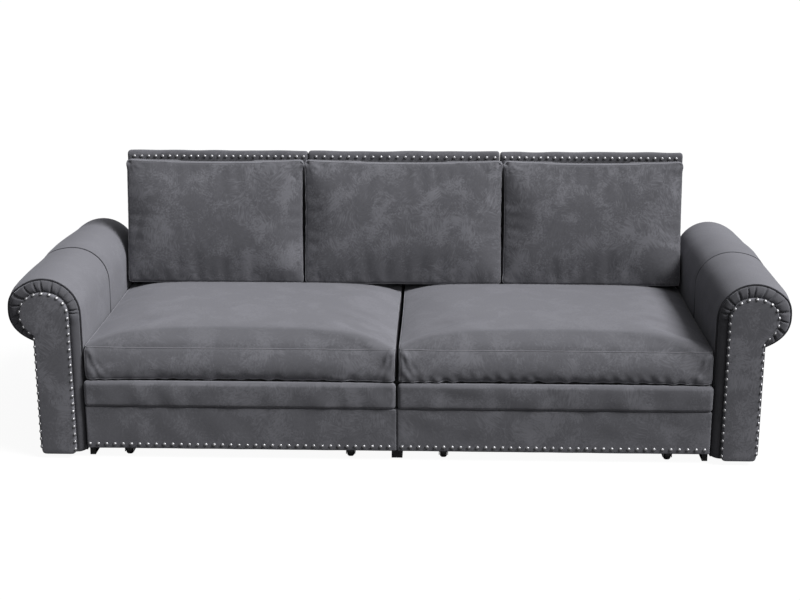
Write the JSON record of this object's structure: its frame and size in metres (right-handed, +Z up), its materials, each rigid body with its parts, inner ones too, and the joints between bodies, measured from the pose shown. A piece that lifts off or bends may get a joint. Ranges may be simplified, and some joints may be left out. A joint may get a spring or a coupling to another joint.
{
  "type": "sleeper sofa",
  "caption": "Rolled-arm sofa with nailhead trim, loose back cushions and padded bed units that roll out on casters from under the seat.",
  "frame": {"origin": "on the floor, under the middle of the sofa's overall box", "axes": "+X to the right as seen from the front, along the sofa's length; the front faces -Y; +Z up"},
  "size_m": [2.539, 0.94, 0.881],
  "materials": {
    "velvet": "matte",
    "nailheads": "polished",
    "black_board": "satin",
    "plywood": "matte",
    "zinc_steel": "satin",
    "nylon": "matte",
    "ticking": "matte"
  },
  "bodies": {
    "root": {"arm_left": "velvet", "arm_front_pad_left": "velvet", "arm_plaque_left": "velvet", "arm_nails_left": "nailheads", "seat_cushion_left": "velvet", "seat_deck_left": "black_board", "side_board_left_inner": "black_board", "side_board_left_outer": "black_board", "arm_right": "velvet", "arm_front_pad_right": "velvet", "arm_plaque_right": "velvet", "arm_nails_right": "nailheads", "seat_cushion_right": "velvet", "seat_deck_right": "black_board", "side_board_right_inner": "black_board", "side_board_right_outer": "black_board", "back_section_left": "velvet", "back_nails_left": "nailheads", "back_section_centre": "velvet", "back_nails_centre": "nailheads", "back_section_right": "velvet", "back_nails_right": "nailheads", "rear_rail": "plywood"},
    "bed_unit_left": {"bed_front_left": "velvet", "bed_front_nails_left": "nailheads", "bed_bolster_left": "velvet", "bed_pad_left": "ticking", "bed_platform_left": "plywood", "bed_side_rail_left_inner": "plywood", "bed_side_rail_left_outer": "plywood", "bed_cross_rail_left_front": "plywood", "bed_cross_rail_left_rear": "plywood", "caster_fork_left_front_inner": "zinc_steel", "caster_fork_left_front_outer": "zinc_steel", "caster_fork_left_rear_inner": "zinc_steel", "caster_fork_left_rear_outer": "zinc_steel"},
    "wheel_left_front_inner": {"caster_wheel_left_front_inner": "nylon"},
    "wheel_left_front_outer": {"caster_wheel_left_front_outer": "nylon"},
    "wheel_left_rear_inner": {"caster_wheel_left_rear_inner": "nylon"},
    "wheel_left_rear_outer": {"caster_wheel_left_rear_outer": "nylon"},
    "bed_unit_right": {"bed_front_right": "velvet", "bed_front_nails_right": "nailheads", "bed_bolster_right": "velvet", "bed_pad_right": "ticking", "bed_platform_right": "plywood", "bed_side_rail_right_inner": "plywood", "bed_side_rail_right_outer": "plywood", "bed_cross_rail_right_front": "plywood", "bed_cross_rail_right_rear": "plywood", "caster_fork_right_front_inner": "zinc_steel", "caster_fork_right_front_outer": "zinc_steel", "caster_fork_right_rear_inner": "zinc_steel", "caster_fork_right_rear_outer": "zinc_steel"},
    "wheel_right_front_inner": {"caster_wheel_right_front_inner": "nylon"},
    "wheel_right_front_outer": {"caster_wheel_right_front_outer": "nylon"},
    "wheel_right_rear_inner": {"caster_wheel_right_rear_inner": "nylon"},
    "wheel_right_rear_outer": {"caster_wheel_right_rear_outer": "nylon"},
    "back_cushion_left": {"back_cushion_left": "velvet"},
    "back_cushion_centre": {"back_cushion_centre": "velvet"},
    "back_cushion_right": {"back_cushion_right": "velvet"}
  },
  "joints": [
    {"name": "pull_out_left", "type": "slide", "parent": "root", "child": "bed_unit_left", "axis": [0, -1, 0], "range_m": [0, 0.48]},
    {"name": "wheel_spin_left_front_inner", "type": "hinge", "parent": "bed_unit_left", "child": "wheel_left_front_inner", "pos_m": [-0.15485, -0.414, 0.02], "axis": [1, 0, 0], "range_deg": [0, 1376]},
    {"name": "wheel_spin_left_front_outer", "type": "hinge", "parent": "bed_unit_left", "child": "wheel_left_front_outer", "pos_m": [-0.8973, -0.414, 0.02], "axis": [1, 0, 0], "range_deg": [0, 1376]},
    {"name": "wheel_spin_left_rear_inner", "type": "hinge", "parent": "bed_unit_left", "child": "wheel_left_rear_inner", "pos_m": [-0.15485, 0.3197, 0.02], "axis": [1, 0, 0], "range_deg": [0, 1376]},
    {"name": "wheel_spin_left_rear_outer", "type": "hinge", "parent": "bed_unit_left", "child": "wheel_left_rear_outer", "pos_m": [-0.8973, 0.3197, 0.02], "axis": [1, 0, 0], "range_deg": [0, 1376]},
    {"name": "pull_out_right", "type": "slide", "parent": "root", "child": "bed_unit_right", "axis": [0, -1, 0], "range_m": [0, 0.48]},
    {"name": "wheel_spin_right_front_inner", "type": "hinge", "parent": "bed_unit_right", "child": "wheel_right_front_inner", "pos_m": [0.15485, -0.414, 0.02], "axis": [1, 0, 0], "range_deg": [0, 1376]},
    {"name": "wheel_spin_right_front_outer", "type": "hinge", "parent": "bed_unit_right", "child": "wheel_right_front_outer", "pos_m": [0.8973, -0.414, 0.02], "axis": [1, 0, 0], "range_deg": [0, 1376]},
    {"name": "wheel_spin_right_rear_inner", "type": "hinge", "parent": "bed_unit_right", "child": "wheel_right_rear_inner", "pos_m": [0.15485, 0.3197, 0.02], "axis": [1, 0, 0], "range_deg": [0, 1376]},
    {"name": "wheel_spin_right_rear_outer", "type": "hinge", "parent": "bed_unit_right", "child": "wheel_right_rear_outer", "pos_m": [0.8973, 0.3197, 0.02], "axis": [1, 0, 0], "range_deg": [0, 1376]},
    {"name": "lift_off_left", "type": "slide", "parent": "root", "child": "back_cushion_left", "axis": [0, 0, 1], "range_m": [0, 0.5]},
    {"name": "lift_off_centre", "type": "slide", "parent": "root", "child": "back_cushion_centre", "axis": [0, 0, 1], "range_m": [0, 0.5]},
    {"name": "lift_off_right", "type": "slide", "parent": "root", "child": "back_cushion_right", "axis": [0, 0, 1], "range_m": [0, 0.5]}
  ],
  "couplings": [
    {"joint": "wheel_spin_left_front_inner", "follows": "pull_out_left", "rad_per_m": 50},
    {"joint": "wheel_spin_left_front_outer", "follows": "pull_out_left", "rad_per_m": 50},
    {"joint": "wheel_spin_left_rear_inner", "follows": "pull_out_left", "rad_per_m": 50},
    {"joint": "wheel_spin_left_rear_outer", "follows": "pull_out_left", "rad_per_m": 50},
    {"joint": "wheel_spin_right_front_inner", "follows": "pull_out_right", "rad_per_m": 50},
    {"joint": "wheel_spin_right_front_outer", "follows": "pull_out_right", "rad_per_m": 50},
    {"joint": "wheel_spin_right_rear_inner", "follows": "pull_out_right", "rad_per_m": 50},
    {"joint": "wheel_spin_right_rear_outer", "follows": "pull_out_right", "rad_per_m": 50}
  ]
}
